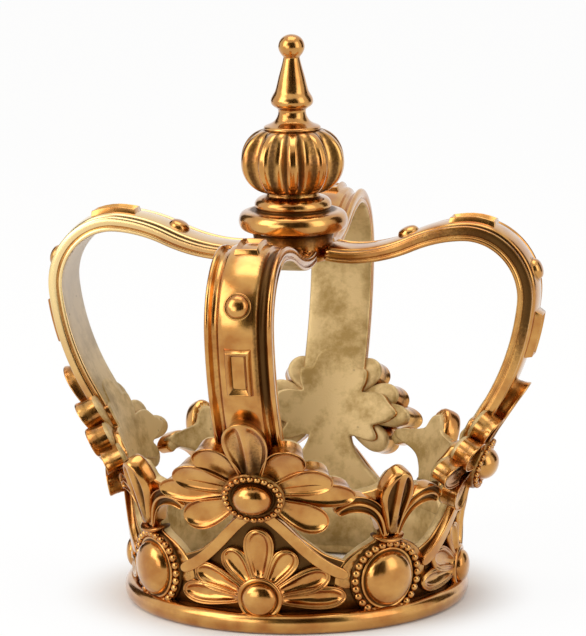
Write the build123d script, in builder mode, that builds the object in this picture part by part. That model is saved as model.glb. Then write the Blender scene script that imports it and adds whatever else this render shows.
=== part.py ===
from build123d import *
from math import asin, cos, degrees, radians, sin, tan
import os

os.makedirs("parts", exist_ok=True)

# Cast ornamental crown: one hollow casting in gilded resin, open underneath.
# The foot stands on Z = 0 and the axis of the crown is Z.
# Four arches stand on the X and Y axes, over four rosettes.
# Four fleurs stand between them, each over an oval boss.

# Band: a wall that flares from the foot to the widest point of an arch, given by its inner line
# Each reach is outwards from the foot's radius
foot_radius = 55.2
waist_reach = 1.1
waist_height = 24.0
flare_reach = 17.3
flare_height = 77.5
widest_reach = 29.6
widest_height = 114.0
waist_radius = foot_radius + waist_reach
flare_radius = foot_radius + flare_reach
widest_radius = foot_radius + widest_reach
wall = 3.6
band_height = 22.0
root_depth = 3.0            # ornaments reach this far inside the wall before the inside is cleared
rim_reach = 9.0
rim_foot_reach = 7.6
rim_height = 7.6
rim_radius = foot_radius + rim_reach
rim_foot_radius = foot_radius + rim_foot_reach
rim_edge_share = 0.3
overrun = 2.0
flare_chords = 4            # straight facets along each round of the profile
lean_chords = 3
shoulder_chords = 5
saddle_chords = 2
wall_facets = 32
wedge_share = 2.0           # reach of a facet's cutting wedge, of the foot's radius

# Arch: a moulded strip over a crest and a dip, from behind the rosette to the hub
arch_width = 23.5
arch_base = 4.9
panel_rise = 1.4
panel_width = 16.0
arch_seat = 0.3             # the strip's inner face stands this far outside the wall line
arch_start = 60.0
shoulder_inset = 9.3        # insets are inwards from the widest point, rises upwards from it
shoulder_rise = 19.3
crest_inset = 19.8
crest_rise = 22.5
saddle_inset = 37.8
saddle_rise = 18.3
dip_inset = 55.5
dip_rise = 13.3
hub_end_radius = 9.0
hub_end_rise = 15.0
shoulder_point = (widest_radius - shoulder_inset, widest_height + shoulder_rise)
crest_point = (widest_radius - crest_inset, widest_height + crest_rise)
saddle_point = (widest_radius - saddle_inset, widest_height + saddle_rise)
dip_point = (widest_radius - dip_inset, widest_height + dip_rise)
hub_end_point = (hub_end_radius, widest_height + hub_end_rise)

# Studs along each arch
boss_radius = 4.8
boss_height = 3.2
gem_width = 9.5
gem_length = 16.5
gem_height = 2.2
gem_border = 2.4
gem_recess = 1.2
boss_over_shares = [0.097, 0.59]
gem_over_share = 0.352
gem_side_share = 0.905

# Rosette, placed by its distance up the wall
rosette_climb = 57.6
rosette_reach = 30.0
petal_width = 11.0
petal_turns = [0, 38, 67, 84, 113]
petal_length_shares = [1.04, 0.88, 0.94, 1.14, 0.88]
petal_width_shares = [1.25, 1.08, 1.04, 0.9, 1.0]
petal_root = 5.0
petal_rise = 5.4
petal_dish = 2.6
spoon_mid_share = 0.62
spoon_shares = [(0.5, -0.34), (0.36, -0.1), (0.0, 0.0), (-0.36, -0.1), (-0.5, -0.34)]
rosette_collar_radius = 10.4
rosette_collar_rise = 5.8
rosette_teeth = 18
rosette_dome_radius = 6.7
rosette_dome_height = 4.2

# Fan of leaves below the rosette, under two frame strips
fan_climb = 13.0
fan_reach = 28.4
leaf_width = 8.8
leaf_turns = [0, 33, 69, 89]
leaf_length_shares = [1.0, 0.8, 0.96, 1.08]
leaf_width_shares = [1.3, 1.1, 1.14, 1.0]
leaf_root = 3.4
leaf_rise = 2.4
leaf_dish = 1.6
fan_collar_radius = 8.2
fan_collar_rise = 2.4
fan_dome_radius = 6.2
fan_dome_height = 3.2
strip_width = 4.2
strip_rise = 2.6
strip_top = 46.0
strip_end = 21.5
strip_end_side = 31.0
strip_shares = [(0.0, 1.0), (0.24, 0.68), (0.52, 0.38), (0.78, 0.14), (1.0, 0.0)]
neck_width = 15.0
neck_top = 50.0

# Fleur and oval boss between the rosettes
fleur_climb = 35.5
fleur_length = 28.0
fleur_width = 13.0
fleur_rise = 4.0
fleur_groove = 2.0
fleur_shares = [(0.22, 0.0), (0.46, 0.3), (0.5, 0.52), (0.34, 0.8), (0.0, 1.0)]
clasp_width = 11.5
clasp_height = 4.0
clasp_rise = 5.0
curl_reach = 19.5
curl_height = 20.0
curl_shares = [(0.08, 0.0), (0.1, 0.36), (0.24, 0.72), (0.55, 0.97), (0.85, 1.0), (1.0, 0.86)]
curl_shares += [(0.94, 0.56), (0.7, 0.62), (0.46, 0.48), (0.34, 0.24), (0.33, 0.0)]
curl_rise = 3.4
oval_climb = 18.6
oval_width = 27.0
oval_height = 27.0
oval_rise = 2.4
oval_teeth = 18
oval_dome_width = 17.6
oval_dome_height = 19.0
oval_dome_rise = 3.6
tooth_depth = 1.1
dome_shares = [(1.0, -1.0), (1.0, 0.0), (0.84, 0.55), (0.45, 0.92)]
dome_sides = 12
oval_sides = 14

# Hub and finial, stacked upwards from the underside of the drum
hub_drop = 1.1              # the drum's underside hangs this far below the arch's dip
hub_base = widest_height + dip_rise - hub_drop
drum_radius = 14.8
drum_height = 11.0
lower_disc_radius = 20.2
lower_disc_height = 7.2
upper_disc_radius = 14.8
upper_disc_height = 4.6
disc_round_share = 0.3
edge_step = 0.3
hub_sides = 24
spire_sides = 16
neck_radius = 9.9
neck_height = 2.2
melon_radius = 19.6
sunk_share = 0.92
melon_height = 23.0
melon_ribs = 10
melon_shares = [(0.02, 0.0), (0.56, 0.12), (0.92, 0.32), (1.0, 0.5), (0.92, 0.68), (0.56, 0.88), (0.02, 1.0)]
rib_turn = 19.0
rib_slope = 1.5
rib_start = -5.7
collar_radius = 10.7
collar_height = 1.4
throat_flare_radius = 9.0
throat_flare_height = 4.4
throat_flare_share = 0.3
throat_radius = 5.0
throat_height = 1.6
bead_radius = 7.9
bead_seat_radius = 6.6
bead_height = 5.2
spire_tip_radius = 3.0
spire_height = 14.2
ball_radius = 4.9
ball_facets = 6

quarters = 4
fleur_turn = 45.0

# Inner line of wall and arch, a chain of tangent arcs with X as the radius and Y as the height
with BuildLine() as wall_side:
    foot_line = Line((foot_radius, 0), (waist_radius, waist_height))
    flare_arc = TangentArc(foot_line @ 1, (flare_radius, flare_height), tangent=foot_line % 1)
    lean_arc = TangentArc(flare_arc @ 1, (widest_radius, widest_height), tangent=flare_arc % 1)

with BuildLine() as over_side:
    shoulder_arc = TangentArc(lean_arc @ 1, shoulder_point, tangent=lean_arc % 1)
    crest_arc = TangentArc(shoulder_arc @ 1, crest_point, tangent=shoulder_arc % 1)
    saddle_arc = TangentArc(crest_arc @ 1, saddle_point, tangent=crest_arc % 1)
    dip_arc = TangentArc(saddle_arc @ 1, dip_point, tangent=saddle_arc % 1)
    hub_arc = TangentArc(dip_arc @ 1, hub_end_point, tangent=dip_arc % 1)

wall_line = wall_side.wire()
over_line = over_side.wire()
over_arcs = [shoulder_arc, crest_arc, saddle_arc, dip_arc, hub_arc]


def raised(line, share, height):
    # Point of a profile line, lifted off its outer side
    along = line % share
    return line @ share + Vector(along.Y, -along.X) * height


def raised_chords(line, height, chords, start_share=0.0):
    # Points along a profile edge, lifted off its outer side, from a share of its length to its end
    shares = [start_share + (1 - start_share) * step / chords for step in range(chords + 1)]
    return [raised(line, share, height) for share in shares]


def wall_plane(turn, climb, heading=0.0):
    # Plane on the outer face of the band: Y up the wall, turned clockwise by the heading, and Z outwards
    share = climb / wall_line.length
    place = raised(wall_line, share, wall)
    lean = wall_line % share
    out = Vector(cos(radians(turn)), sin(radians(turn)), 0)
    side = Vector(-sin(radians(turn)), cos(radians(turn)), 0)
    up = out * lean.X + Vector(0, 0, lean.Y)
    across = side * cos(radians(heading)) - up * sin(radians(heading))
    return Plane(out * place.X + Vector(0, 0, place.Y), x_dir=across, z_dir=side.cross(up))


def spread_plane(climb, heading, distance):
    # Plane on the band's face at a distance from an ornament's middle, with Y pointing away from it
    reach = raised(wall_line, climb / wall_line.length, wall).X
    turn = degrees(distance * sin(radians(heading)) / reach)
    return wall_plane(turn, climb + distance * cos(radians(heading)), heading)


def arch_plane(line, share):
    # Plane on the panel of an arch: X across the strip, Y along it, Z outwards
    place = raised(line, share, arch_seat + arch_base + panel_rise)
    along = line % share
    return Plane(Vector(place.X, 0, place.Y), x_dir=(0, 1, 0), z_dir=(along.Y, 0, -along.X))


def spoon(length, width, root, rise, dish):
    # Petal with a round tip, folded down to a valley that deepens towards its root
    inner_end = -spoon_mid_share * length
    outer_end = inner_end + length
    tip_points = [(out * width, outer_end + up * width) for out, up in spoon_shares]
    with BuildPart() as blade:
        with BuildSketch(Plane.XY.offset(-wall - root_depth)):
            with BuildLine():
                Polyline(*tip_points, (-root / 2, inner_end), (root / 2, inner_end), close=True)
            make_face()
        extrude(amount=wall + root_depth + rise)
        valley = Plane((0, outer_end, rise - dish / 2), x_dir=(1, 0, 0), z_dir=(0, -length, -dish / 2))
        folds = [(0, 0), (width, dish), (width, 2 * dish), (-width, 2 * dish), (-width, dish)]
        with BuildSketch(valley.offset(-overrun)):
            with BuildLine():
                Polyline(*folds, close=True)
            make_face()
        extrude(amount=length + 2 * overrun, mode=Mode.SUBTRACT)
    return blade.part


def milled_plate(width, height, teeth, rise):
    # Plate with a milled edge, the border of beads round a dome
    corners = []
    for tooth in range(2 * teeth):
        turn = radians(180 * tooth / teeth)
        inset = tooth_depth * (tooth % 2)
        corners += [((width / 2 - inset) * cos(turn), (height / 2 - inset) * sin(turn))]
    with BuildPart() as plate:
        with BuildSketch(Plane.XY.offset(-wall - root_depth)):
            with BuildLine():
                Polyline(*corners, close=True)
            make_face()
        extrude(amount=wall + root_depth + rise)
    return plate.part


def flat(form):
    # The same form with every facet a flat face
    return Solid(Shell([Face(facet.outer_wire()) for facet in form.faces()]))


def dome(width, length, rise, sides):
    # Faceted button, round or oval, of this size and rise above Z = 0, and as deep again below
    with BuildPart() as button:
        for out, up in dome_shares:
            turns = [radians(360 * side / sides) for side in range(sides)]
            corners = [(out * width / 2 * cos(turn), out * length / 2 * sin(turn)) for turn in turns]
            with BuildSketch(Plane.XY.offset(up * rise)):
                with BuildLine():
                    Polyline(*corners, close=True)
                make_face()
        loft(ruled=True)
    return flat(button.part)


def ring(points):
    # Round form in flat facets, with this profile of radius and height points
    reach = wedge_share * foot_radius
    half_width = reach * tan(radians(180 / wall_facets))
    with BuildPart() as facet:
        with BuildSketch(Plane.XZ):
            with BuildLine():
                Polyline(*points, close=True)
            make_face()
        extrude(amount=half_width, both=True)
        with BuildSketch(Plane.XY.offset(-overrun)):
            with BuildLine():
                Polyline((0, 0), (reach, half_width), (reach, -half_width), close=True)
            make_face()
        extrude(amount=overrun + widest_height, mode=Mode.INTERSECT)
    with BuildPart() as whole:
        with PolarLocations(0, wall_facets):
            add(facet)
    return whole.part


def shell(rise, depth):
    # Ring of the wall, from a depth inside its inner line to a height above its outer face
    outside = raised_chords(flare_arc, wall + rise, flare_chords)
    inside = raised_chords(flare_arc, -depth, flare_chords)
    feet = [(raised(foot_line, 0, -depth).X, -overrun), (raised(foot_line, 0, wall + rise).X, -overrun)]
    return ring([*feet, *outside, *reversed(inside)])


# Inside of the crown, up to the widest point
inner_points = raised_chords(flare_arc, 0, flare_chords) + raised_chords(lean_arc, 0, lean_chords)[1:]
core = ring([(0, -overrun), (foot_radius, -overrun), (foot_radius, 0), *inner_points, (0, widest_height)])

# Rounded ring at the foot
rim_points = [(rim_foot_radius, 0), (rim_radius, rim_edge_share * rim_height)]
rim_points += [(rim_radius, (1 - rim_edge_share) * rim_height), (rim_foot_radius, rim_height)]
rim_inside = foot_radius - root_depth / 2
rim = ring([(rim_inside, 0), *rim_points, (rim_inside, rim_height)])

# Outline of the tent-shaped panel behind a fan
strip_rise_height = strip_top - strip_end
right_edge = [(out * strip_end_side, strip_end + up * strip_rise_height) for out, up in strip_shares]
left_edge = [(-side, height) for side, height in reversed(right_edge)]
panel_feet = [(strip_end_side, band_height / 2), (-strip_end_side, band_height / 2)]
with BuildPart() as tent:
    with BuildSketch(Plane.YZ.offset(foot_radius / 2)):
        with BuildLine():
            Polyline(*right_edge, *panel_feet, *left_edge)
        make_face()
    extrude(amount=wedge_share * foot_radius)

# Wall of the band: closed all round below, with the panels standing on it
with BuildPart() as band:
    Cylinder(wedge_share * foot_radius, band_height, align=(Align.CENTER, Align.CENTER, Align.MIN))
    with PolarLocations(0, quarters):
        add(tent)
    add(shell(0, root_depth), mode=Mode.INTERSECT)

# Frame strips over the edges of a panel, with the neck that carries the rosette
with BuildPart() as strips:
    with BuildSketch(Plane.YZ.offset(foot_radius / 2)):
        for side in (1, -1):
            with BuildLine():
                edge = [(side * out, height) for out, height in right_edge]
                beside = [(out, height - strip_width) for out, height in edge]
                Polyline(*edge, *reversed(beside), close=True)
            make_face()
        with Locations((0, strip_top - strip_width)):
            Rectangle(neck_width, neck_top - strip_top + strip_width, align=(Align.CENTER, Align.MIN))
    extrude(amount=wedge_share * foot_radius)
    add(shell(strip_rise, root_depth / 2), mode=Mode.INTERSECT)

# Fan of hollowed leaves round a small dome
with BuildPart() as fan:
    for turn, length_share, width_share in zip(leaf_turns, leaf_length_shares, leaf_width_shares):
        length = length_share * fan_reach
        for heading in sorted({turn, -turn}):
            with Locations(spread_plane(fan_climb, heading, spoon_mid_share * length)):
                add(spoon(length, width_share * leaf_width, leaf_root, leaf_rise, leaf_dish))
    with BuildSketch(wall_plane(0, fan_climb).offset(-wall)):
        RegularPolygon(fan_collar_radius, dome_sides)
    extrude(amount=wall + fan_collar_rise)
    with Locations(wall_plane(0, fan_climb).offset(fan_collar_rise)):
        add(dome(2 * fan_dome_radius, 2 * fan_dome_radius, fan_dome_height, dome_sides))

# Rosette of hollowed petals round a milled collar and a dome
with BuildPart() as rosette:
    for turn, length_share, width_share in zip(petal_turns, petal_length_shares, petal_width_shares):
        length = length_share * rosette_reach
        for heading in sorted({turn, -turn}):
            with Locations(spread_plane(rosette_climb, heading, spoon_mid_share * length)):
                add(spoon(length, width_share * petal_width, petal_root, petal_rise, petal_dish))
    collar_width = 2 * rosette_collar_radius
    with Locations(wall_plane(0, rosette_climb)):
        add(milled_plate(collar_width, collar_width, rosette_teeth, rosette_collar_rise))
    with Locations(wall_plane(0, rosette_climb).offset(rosette_collar_rise)):
        add(dome(2 * rosette_dome_radius, 2 * rosette_dome_radius, rosette_dome_height, dome_sides))

# Fleur: a pointed leaf with two hollows, a curl on each side and a clasp at its foot
with BuildPart() as fleur_leaf:
    right_side = [(out * fleur_width, up * fleur_length) for out, up in fleur_shares]
    left_side = [(-out, up) for out, up in reversed(right_side[:-1])]
    with BuildSketch(Plane.XY.offset(-wall - root_depth)):
        with BuildLine():
            Polyline(*right_side, *left_side, close=True)
        make_face()
    extrude(amount=wall + root_depth + fleur_rise)
    hollow = Plane((0, fleur_length, fleur_rise), x_dir=(1, 0, 0), z_dir=(0, -fleur_length, -fleur_groove))
    with BuildSketch(hollow.offset(-overrun)):
        for side in (1, -1):
            quarter_width = side * fleur_width / 4
            groove = [(0, fleur_groove), (quarter_width, 0), (2 * quarter_width, fleur_groove)]
            with BuildLine():
                Polyline(*groove, close=True)
            make_face()
    extrude(amount=fleur_length + overrun, mode=Mode.SUBTRACT)

with BuildPart() as curl:
    curl_points = [(out * curl_reach - curl_reach / 2, up * curl_height) for out, up in curl_shares]
    with BuildSketch(Plane.XY.offset(-wall - root_depth)):
        with BuildLine():
            Polyline(*curl_points, close=True)
        make_face()
    extrude(amount=wall + root_depth + curl_rise)

with BuildPart() as fleur:
    curl_turn = degrees(curl_reach / 2 / raised(wall_line, fleur_climb / wall_line.length, wall).X)
    with Locations(wall_plane(fleur_turn, fleur_climb)):
        add(fleur_leaf)
    with Locations(wall_plane(fleur_turn + curl_turn, fleur_climb)):
        add(curl)
    with Locations(wall_plane(fleur_turn - curl_turn, fleur_climb)):
        add(mirror(curl.part, about=Plane.YZ, mode=Mode.PRIVATE))
    clasp_depth = wall + root_depth + clasp_rise
    with Locations(wall_plane(fleur_turn, fleur_climb).offset(-wall - root_depth)):
        Box(clasp_width, clasp_height, clasp_depth, align=(Align.CENTER, Align.MAX, Align.MIN))

# Oval boss with a milled border, under the fleur
with BuildPart() as oval:
    with Locations(wall_plane(fleur_turn, oval_climb)):
        add(milled_plate(oval_width, oval_height, oval_teeth, oval_rise))
    with Locations(wall_plane(fleur_turn, oval_climb).offset(oval_rise)):
        add(dome(oval_dome_width, oval_dome_height, oval_dome_rise, oval_sides))

# Arch: a base strip with a raised panel along its middle, and their studs
with BuildPart() as arch:
    start_share = (arch_start - foot_line.length) / flare_arc.length
    over_chords = [shoulder_chords, saddle_chords, saddle_chords, saddle_chords, saddle_chords]
    for top, width in ((arch_base, arch_width), (arch_base + panel_rise, panel_width)):
        faces = []
        for height in (arch_seat, arch_seat + top):
            points = raised_chords(flare_arc, height, saddle_chords, start_share)
            for arc, chords in zip([lean_arc, *over_arcs], [lean_chords, *over_chords]):
                points += raised_chords(arc, height, chords)[1:]
            faces += [points]
        with BuildSketch(Plane.XZ):
            with BuildLine():
                Polyline(*faces[0], *reversed(faces[1]), close=True)
            make_face()
        extrude(amount=width / 2, both=True)
    for share in boss_over_shares:
        with Locations(arch_plane(over_line, share)):
            add(dome(2 * boss_radius, 2 * boss_radius, boss_height, dome_sides))
    for plane in (arch_plane(over_line, gem_over_share), arch_plane(wall_line, gem_side_share)):
        with BuildSketch(plane.offset(-arch_base)):
            Rectangle(gem_width, gem_length)
        extrude(amount=arch_base + gem_height)
        with BuildSketch(plane.offset(gem_height)):
            Rectangle(gem_width - 2 * gem_border, gem_length - 2 * gem_border)
        extrude(amount=-gem_recess, mode=Mode.SUBTRACT)

# Hub and finial, turned about the axis
disc_foot = hub_base + drum_height
disc_step = disc_foot + lower_disc_height
neck_foot = disc_step + upper_disc_height
melon_foot = neck_foot + neck_height
melon_top = melon_foot + melon_height
collar_top = melon_top + collar_height
throat_foot = collar_top + throat_flare_height
bead_foot = throat_foot + throat_height
spire_foot = bead_foot + bead_height
spire_top = spire_foot + spire_height
ball_middle = spire_top + (ball_radius**2 - spire_tip_radius**2) ** 0.5
ball_start = degrees(asin(spire_tip_radius / ball_radius))
throat_bend_radius = throat_radius + throat_flare_share * (throat_flare_radius - throat_radius)


def rounded(radius, foot, top, depth):
    # Levels of a rounded edge, in three facets: radius and height pairs, upwards
    inset = radius - depth
    edge = rim_edge_share * (top - foot)
    return [(inset, foot), (radius, foot + edge), (radius, top - edge), (inset, top)]


def turned(levels, sides):
    # Turned form in flat facets, from its radius and height pairs, upwards
    with BuildPart() as stem:
        for radius, height in levels:
            with BuildSketch(Plane.XY.offset(height)):
                RegularPolygon(radius, sides)
        loft(ruled=True)
    return flat(stem.part)


# Hub: a drum where the arches meet, two rounded discs and the neck inside the melon
hub_levels = [(drum_radius, hub_base), (drum_radius, disc_foot)]
lower_round = disc_round_share * lower_disc_height
upper_round = disc_round_share * upper_disc_height
hub_levels += rounded(lower_disc_radius, disc_foot + edge_step, disc_step, lower_round)
hub_levels += rounded(upper_disc_radius, disc_step + edge_step, neck_foot, upper_round)
hub_levels += [(neck_radius, neck_foot + edge_step), (neck_radius, melon_foot + melon_height / 2)]
hub = turned(hub_levels, hub_sides)

# Spire: a collar on the melon, a flared throat, a bead, the spire and its ball
spire_levels = [(collar_radius, melon_top - edge_step), (collar_radius, collar_top)]
spire_levels += [(throat_flare_radius, collar_top + edge_step)]
spire_levels += [(throat_bend_radius, collar_top + throat_flare_share * throat_flare_height)]
spire_levels += [(throat_radius, throat_foot), (throat_radius, bead_foot)]
spire_levels += rounded(bead_radius, bead_foot + edge_step, spire_foot, bead_radius - bead_seat_radius)
spire_levels += [(spire_tip_radius, spire_top)]
for step in range(1, ball_facets):
    turn = radians(ball_start + (180 - ball_start) * step / ball_facets)
    spire_levels += [(ball_radius * sin(turn), ball_middle - ball_radius * cos(turn))]
spire = turned(spire_levels, spire_sides)

# Melon: wide ribs with sunk panels between them, drawn in to the neck above and below
with BuildPart() as melon:
    pitch = 360 / melon_ribs
    corners = [(1, -rib_turn / 2), (1, rib_turn / 2)]
    corners += [(sunk_share, rib_turn / 2 + rib_slope), (sunk_share, pitch - rib_turn / 2 - rib_slope)]
    for swell, rise in melon_shares:
        radius = neck_radius + swell * (melon_radius - neck_radius)
        points = []
        for rib in range(melon_ribs):
            for share, corner in corners:
                turn = radians(rib_start + rib * pitch + corner)
                points += [(share * radius * cos(turn), share * radius * sin(turn))]
        with BuildSketch(Plane.XY.offset(melon_foot + rise * melon_height)):
            with BuildLine():
                Polyline(*points, close=True)
            make_face()
    loft(ruled=True)

# The whole casting: ornaments round the band, the inside cleared, then arches and finial
with BuildPart() as crown:
    add([band.part, rim])
    for ornament in (strips, fan, oval, rosette, fleur):
        with PolarLocations(0, quarters):
            add(ornament)
    add(core, mode=Mode.SUBTRACT)
    with PolarLocations(0, quarters):
        add(arch)
    add([hub, flat(melon.part), spire])

crown.part.label = "crown"
export_step(crown.part, "parts/crown.step")
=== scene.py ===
import bisect
from math import atan2, cos, degrees, hypot, pi, radians, sin

import bmesh
import bpy
from mathutils import Matrix, Vector


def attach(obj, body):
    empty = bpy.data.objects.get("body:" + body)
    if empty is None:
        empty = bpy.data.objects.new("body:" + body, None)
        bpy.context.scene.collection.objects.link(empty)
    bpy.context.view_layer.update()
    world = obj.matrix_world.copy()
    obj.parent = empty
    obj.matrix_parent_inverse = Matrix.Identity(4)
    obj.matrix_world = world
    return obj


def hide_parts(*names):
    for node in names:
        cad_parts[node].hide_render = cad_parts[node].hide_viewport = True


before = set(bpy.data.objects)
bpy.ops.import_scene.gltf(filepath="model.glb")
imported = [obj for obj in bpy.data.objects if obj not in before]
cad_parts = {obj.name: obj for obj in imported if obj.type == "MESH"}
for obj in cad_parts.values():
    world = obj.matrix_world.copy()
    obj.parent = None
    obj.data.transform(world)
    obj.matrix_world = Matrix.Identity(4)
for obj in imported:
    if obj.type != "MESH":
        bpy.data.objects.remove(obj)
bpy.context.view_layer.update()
mm = 0.001
weldGap = 0.01 * mm
quarterTurns = (0, 90, 180, 270)  # the arches stand on the X and Y axes
fleurTurn = 45

print("crown: side line")

# Side line of the casting, inside the wall and under the arch: radius and height in mm
sideLine = {
    "foot": (55.2, 0.0),
    "waist": (56.3, 24.0),
    "bends": [(72.5, 77.5), (84.8, 114), (75.5, 133.3), (65, 136.1), (47, 131.9), (29.3, 127), (9, 128.8)],
    "wallBends": 2,  # up to the widest point, then comes the arch
    "stepsPerBend": 24,
    "halvings": 40,  # of the search for a height
    "wall": 3.6,
    "archSeat": 0.1,
    "archSwell": [(0, 1.3), (150, 1.3), (200, 1.0), (300, 1.0)],  # the arch is thicker down the side
}
wall = sideLine["wall"]


def valueAt(pairs, place):
    # value at a place in a list of place and value, straight between them
    for (placeA, valueA), (placeB, valueB) in zip(pairs, pairs[1:]):
        if place <= placeB:
            return valueA + (valueB - valueA) * (place - placeA) / (placeB - placeA)
    return pairs[-1][1]


def tangentBend(start, heading, end, steps):
    # stations of the arc that leaves start along heading and runs to end: point and direction
    chord = end - start
    lean = atan2(heading.x * chord.y - heading.y * chord.x, heading.dot(chord))
    bendRadius = chord.length / (2 * sin(lean))
    left = Vector((-heading.y, heading.x))
    stations = []
    for step in range(1, steps + 1):
        turn = 2 * lean * step / steps
        point = start + bendRadius * (heading * sin(turn) + left * (1 - cos(turn)))
        stations.append((point, heading * cos(turn) + left * sin(turn)))
    return stations


def layOutSide():
    start, end = Vector(sideLine["foot"]), Vector(sideLine["waist"])
    heading = (end - start).normalized()
    stations = [(start, heading), (end, heading)]
    for bend in sideLine["bends"]:
        stations += tangentBend(*stations[-1], Vector(bend), sideLine["stepsPerBend"])
    lengths = [0.0]
    for (before, _), (after, _) in zip(stations, stations[1:]):
        lengths.append(lengths[-1] + (after - before).length)
    return stations, lengths


sideStations, sideLengths = layOutSide()
wallLength = sideLengths[1 + sideLine["wallBends"] * sideLine["stepsPerBend"]]
overLength = sideLengths[-1] - wallLength  # from the widest point over to the hub


def sideAt(climb):
    # point and direction of the side line at a distance along it
    index = min(max(bisect.bisect(sideLengths, climb), 1), len(sideLengths) - 1)
    low, high = sideLengths[index - 1], sideLengths[index]
    share = (climb - low) / (high - low)
    pointA, aimA = sideStations[index - 1]
    pointB, aimB = sideStations[index]
    return pointA.lerp(pointB, share), aimA.lerp(aimB, min(max(share, 0), 1)).normalized()


def climbAt(height):
    # distance along the side line where the outer face of the wall is this high
    low, high = 0.0, wallLength
    for _ in range(sideLine["halvings"]):
        middle = (low + high) / 2
        point, aim = sideAt(middle)
        if point.y - wall * aim.x < height:
            low = middle
        else:
            high = middle
    return low


def bendToWall(bm, turn):
    # lays a flat piece on the wall: X to the right, Y up the wall, Z proud of its outer face
    for vert in bm.verts:
        across, climb, proud = vert.co / mm
        point, aim = sideAt(climb)
        azimuth = radians(turn) + across / (point.x + wall)
        reach = point.x + (wall + proud) * aim.y
        height = point.y - (wall + proud) * aim.x
        vert.co = Vector((reach * cos(azimuth), reach * sin(azimuth), height)) * mm


def archPoint(across, along, out):
    # place over the arch on +X: across it, along it, out from its inner face
    point, aim = sideAt(along)
    out = out * valueAt(sideLine["archSwell"], along) + sideLine["archSeat"]
    return Vector((point.x + out * aim.y, across, point.y - out * aim.x)) * mm


def bendToArch(bm):
    for vert in bm.verts:
        vert.co = archPoint(*(vert.co / mm))


def seatOnArch(bm, along, out):
    # sets a small piece square on the arch on +X
    aim = sideAt(along)[1]
    turn = Matrix(((0, aim.x, aim.y), (1, 0, 0), (0, aim.y, -aim.x))).to_4x4()
    bmesh.ops.transform(bm, matrix=Matrix.Translation(archPoint(0, along, out)) @ turn, verts=bm.verts)


def turned(bm, verts, turn):
    matrix = Matrix.Rotation(radians(turn), 3, "Z")
    bmesh.ops.rotate(bm, cent=(0, 0, 0), matrix=matrix, verts=verts)


def shifted(bm, verts, climb, out=0):
    bmesh.ops.translate(bm, vec=(0, climb * mm, out * mm), verts=verts)


def aroundCrown(bm):
    # copies a finished quarter to the other three
    geom = bm.verts[:] + bm.edges[:] + bm.faces[:]
    for turn in quarterTurns[1:]:
        copied = bmesh.ops.duplicate(bm, geom=geom)["geom"]
        turned(bm, [item for item in copied if isinstance(item, bmesh.types.BMVert)], turn)


# This vertex attribute says how deep a point lies: 1 in the low places, where the dark patina stays, 0 on the
# rubbed rims.
# It also carries painted light: below 0 a painted highlight of paler gilding on the arch on −X, and a painted
# shade streak on the front arch

def newBmesh():
    bm = bmesh.new()
    bm.verts.layers.float.new("hollow")
    return bm


def hollowLayer(bm):
    return bm.verts.layers.float["hollow"]


def shadeAll(bm, verts, patina):
    layer = hollowLayer(bm)
    for vert in verts:
        vert[layer] = patina


def vertsOf(faces):
    return list({vert for face in faces for vert in face.verts})


def shadeHollows(bm, low, high, verts=None):
    # from full patina at one level to none at another
    layer = hollowLayer(bm)
    for vert in verts or bm.verts:
        vert[layer] = min(max((high - vert.co.z / mm) / (high - low), 0), 1)


def markInside(bm, facing):
    # faces that look to the crown's axis keep the matte inner finish
    bmesh.ops.recalc_face_normals(bm, faces=bm.faces)
    for face in bm.faces:
        face.material_index = 1 if face.normal.z < facing else 0


def outwardOf(face):
    # 1 for a face that looks straight away from the crown's axis
    middle = face.calc_center_median()
    return face.normal.dot(Vector((middle.x, middle.y, 0)).normalized())


def newFace(bm, outline, level, patina):
    verts = [bm.verts.new((x * mm, y * mm, level * mm)) for x, y in outline]
    shadeAll(bm, verts, patina)
    return bm.faces.new(verts)


def extruded(bm, faces):
    # new faces over the old ones, which go unless they are the back of the piece
    grown = bmesh.ops.extrude_face_region(bm, geom=faces)["geom"]
    if any(len(edge.link_faces) > 2 for face in faces for edge in face.edges):
        bmesh.ops.delete(bm, geom=faces, context="FACES")
    return [item for item in grown if isinstance(item, bmesh.types.BMFace)]


def nextRing(bm, faces, up, narrow=1.0, shorten=1.0, patina=0.0, pivot=(0, 0)):
    # grows a wall on the faces: up in mm, drawn in or out about the pivot
    faces = extruded(bm, faces)
    verts = vertsOf(faces)
    bmesh.ops.translate(bm, vec=(0, 0, up * mm), verts=verts)
    centre = Matrix.Translation((-pivot[0] * mm, -pivot[1] * mm, 0))
    bmesh.ops.scale(bm, vec=(narrow, shorten, 1), space=centre, verts=verts)
    shadeAll(bm, verts, patina)
    return faces


def growRings(bm, faces, rings, pivot=(0, 0)):
    # one wall after another: up, narrow, shorten, patina
    for ring in rings:
        faces = nextRing(bm, faces, *ring, pivot)
    return faces


def insetRun(bm, faces, inset, rise):
    # draws the rim of some faces in, and lifts or sinks what is inside it
    bmesh.ops.inset_region(bm, faces=faces, thickness=inset * mm, depth=rise * mm, use_even_offset=True)


def ribbon(bm, line, halves, shares, level):
    # flat band along a line, with its points at shares of the half width; its faces, one run after another
    rows = []
    for index, point in enumerate(line):
        aim = (line[min(index + 1, len(line) - 1)] - line[max(index - 1, 0)]).normalized()
        beside = Vector((-aim.y, aim.x)) * halves[index]
        rows.append([bm.verts.new((*(point + beside * share) * mm, level * mm)) for share in shares])
    faces = []
    for run in range(len(shares) - 1):
        for near, far in zip(rows, rows[1:]):
            faces.append(bm.faces.new((near[run + 1], far[run + 1], far[run], near[run])))
    return faces


def joinInto(bm, part):
    # adds one bmesh to another
    holder = bpy.data.meshes.new("holder")
    part.to_mesh(holder)
    part.free()
    bm.from_mesh(holder)
    bpy.data.meshes.remove(holder)


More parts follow.
